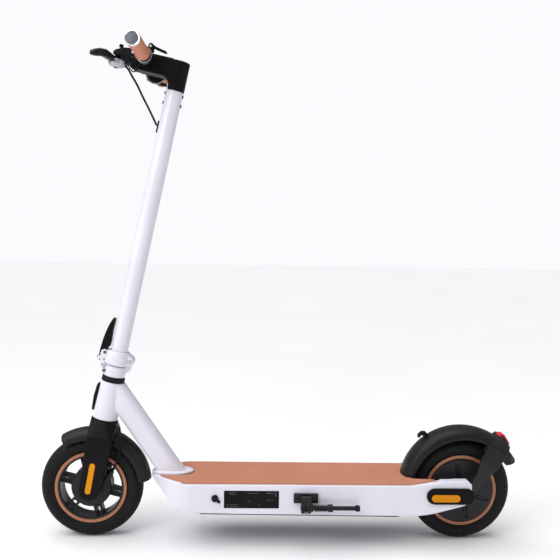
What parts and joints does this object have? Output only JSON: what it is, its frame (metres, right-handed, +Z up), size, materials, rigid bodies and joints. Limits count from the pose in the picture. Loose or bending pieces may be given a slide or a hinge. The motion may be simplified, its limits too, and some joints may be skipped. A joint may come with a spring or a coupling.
{
  "type": "electric kick scooter",
  "caption": "Folding two-wheeled electric kick scooter: raked stem with handlebar controls, flat standing deck, rear hub motor, front drum brake, fenders and side kickstand.",
  "frame": {"origin": "on the ground, under the middle of the object's box", "axes": "+X forwards, +Y to the rider's left, +Z up"},
  "size_m": [1.195, 0.4684, 1.2029],
  "materials": {
    "white_paint": "satin powder coat",
    "black_plastic": "fine grained",
    "black_metal": "satin black coat",
    "steel": "plain",
    "tyre": "moulded tread",
    "black_rubber": "soft matte",
    "mat_rubber": "grooved non-slip mat",
    "grip_rubber": "soft matte",
    "chrome": "polished",
    "silver": "satin",
    "red_lens": "clear red",
    "clear_lens": "clear",
    "display_glass": "dark gloss",
    "battery_shell": "plain"
  },
  "bodies": {
    "frame": {"head_tube": "white_paint", "headset_bearing": "steel", "front_reflector": "black_plastic", "down_tube": "white_paint", "deck_tray": "white_paint", "bottom_cover": "black_plastic", "deck_mat": "mat_rubber", "battery_pack": "battery_shell", "motor_controller": "battery_shell", "charge_port": "black_plastic", "rear_arm_left": "white_paint", "rear_arm_right": "white_paint", "arm_cover_left": "black_plastic", "arm_cover_right": "black_plastic", "rear_axle": "steel", "rear_fender": "black_plastic", "fender_hook": "black_plastic", "tail_light_lens": "red_lens", "kickstand_bracket": "black_metal"},
    "charge_cap": {"charge_cap": "black_rubber"},
    "kickstand": {"kickstand_leg": "black_metal", "kickstand_foot": "black_rubber"},
    "rear_wheel": {"rear_hub_motor": "black_metal", "rear_tyre": "tyre"},
    "fork": {"fork": "black_metal", "fork_cover_left": "black_plastic", "fork_cover_right": "black_plastic", "front_axle": "steel", "front_fender": "black_plastic", "headset_cover": "black_plastic", "brake_plate": "black_metal", "drum_cable": "black_rubber", "hinge_base": "white_paint"},
    "brake_arm": {"brake_arm": "steel"},
    "front_wheel": {"front_rim": "black_metal", "front_tyre": "tyre"},
    "stem": {"hinge_collar": "white_paint", "fold_pin": "steel", "stem_tube": "white_paint", "head_shell": "black_plastic", "display": "display_glass", "headlight": "clear_lens", "handlebar": "black_metal", "grip_left": "grip_rubber", "grip_right": "grip_rubber", "bar_end_left": "chrome", "bar_end_right": "chrome", "brake_perch": "black_plastic", "bell_dome": "silver", "thumb_housing": "black_plastic", "throttle_housing": "black_plastic", "brake_cable": "black_rubber"},
    "latch_lever": {"latch_lever": "black_plastic"},
    "latch_link": {"latch_link": "white_paint"},
    "brake_lever": {"brake_lever": "black_metal"},
    "bell_striker": {"bell_striker": "black_plastic"},
    "thumb_lever": {"thumb_lever": "black_plastic"},
    "throttle_lever": {"throttle_lever": "black_plastic"},
    "power_button": {"power_button": "silver"}
  },
  "joints": [
    {"name": "steering", "type": "hinge", "parent": "frame", "child": "fork", "pos_m": [0.43071, 0, 0.34345], "axis": [-0.2045, 0, 0.9789], "range_deg": [-45, 45]},
    {"name": "stem_fold", "type": "hinge", "parent": "fork", "child": "stem", "pos_m": [0.37653, 0, 0.44144], "axis": [0, -1, 0], "range_deg": [0, 92]},
    {"name": "latch_lever_swing", "type": "hinge", "parent": "stem", "child": "latch_lever", "pos_m": [0.44726, 0, 0.45009], "axis": [0, 1, 0], "range_deg": [0, 100]},
    {"name": "latch_link_swing", "type": "hinge", "parent": "latch_lever", "child": "latch_link", "pos_m": [0.44378, 0, 0.46673], "axis": [0, 1, 0], "range_deg": [-80, 0]},
    {"name": "front_wheel_spin", "type": "hinge", "parent": "fork", "child": "front_wheel", "pos_m": [0.4705, 0, 0.127], "axis": [0, 1, 0], "continuous": true},
    {"name": "rear_wheel_spin", "type": "hinge", "parent": "frame", "child": "rear_wheel", "pos_m": [-0.4559, 0, 0.127], "axis": [0, 1, 0], "continuous": true},
    {"name": "brake_lever_pull", "type": "hinge", "parent": "stem", "child": "brake_lever", "pos_m": [0.39135, 0.082, 1.16271], "axis": [-0.2045, 0, 0.9789], "range_deg": [0, 20], "stiffness_Nm_per_rad": 0.8},
    {"name": "brake_arm_pull", "type": "hinge", "parent": "fork", "child": "brake_arm", "pos_m": [0.43956, 0.033, 0.13485], "axis": [0, 1, 0], "range_deg": [0, 15]},
    {"name": "thumb_lever_press", "type": "hinge", "parent": "stem", "child": "thumb_lever", "pos_m": [0.31652, 0.073, 1.19816], "axis": [0, -1, 0], "range_deg": [0, 18], "stiffness_Nm_per_rad": 0.2},
    {"name": "throttle_press", "type": "hinge", "parent": "stem", "child": "throttle_lever", "pos_m": [0.34832, -0.072, 1.14862], "axis": [0, -1, 0], "range_deg": [0, 25], "stiffness_Nm_per_rad": 0.2},
    {"name": "bell_flick", "type": "hinge", "parent": "stem", "child": "bell_striker", "pos_m": [0.38669, 0.078, 1.18013], "axis": [0, 1, 0], "range_deg": [0, 20], "stiffness_Nm_per_rad": 0.05},
    {"name": "power_press", "type": "slide", "parent": "stem", "child": "power_button", "axis": [0.2045, 0, -0.9789], "range_m": [0, 0.0015], "stiffness_N_per_m": 600},
    {"name": "kickstand_swing", "type": "hinge", "parent": "frame", "child": "kickstand", "pos_m": [-0.0607, 0.11, 0.111], "axis": [0, -0.9397, -0.342], "range_deg": [0, 118]},
    {"name": "charge_cap_flip", "type": "hinge", "parent": "frame", "child": "charge_cap", "pos_m": [0.1458, 0.0918, 0.1155], "axis": [-0.7071, 0, 0.7071], "range_deg": [0, 110]}
  ],
  "couplings": [
    {"joint": "latch_link_swing", "follows": "latch_lever_swing", "ratio": -0.8},
    {"joint": "brake_arm_pull", "follows": "brake_lever_pull", "ratio": 0.75}
  ]
}
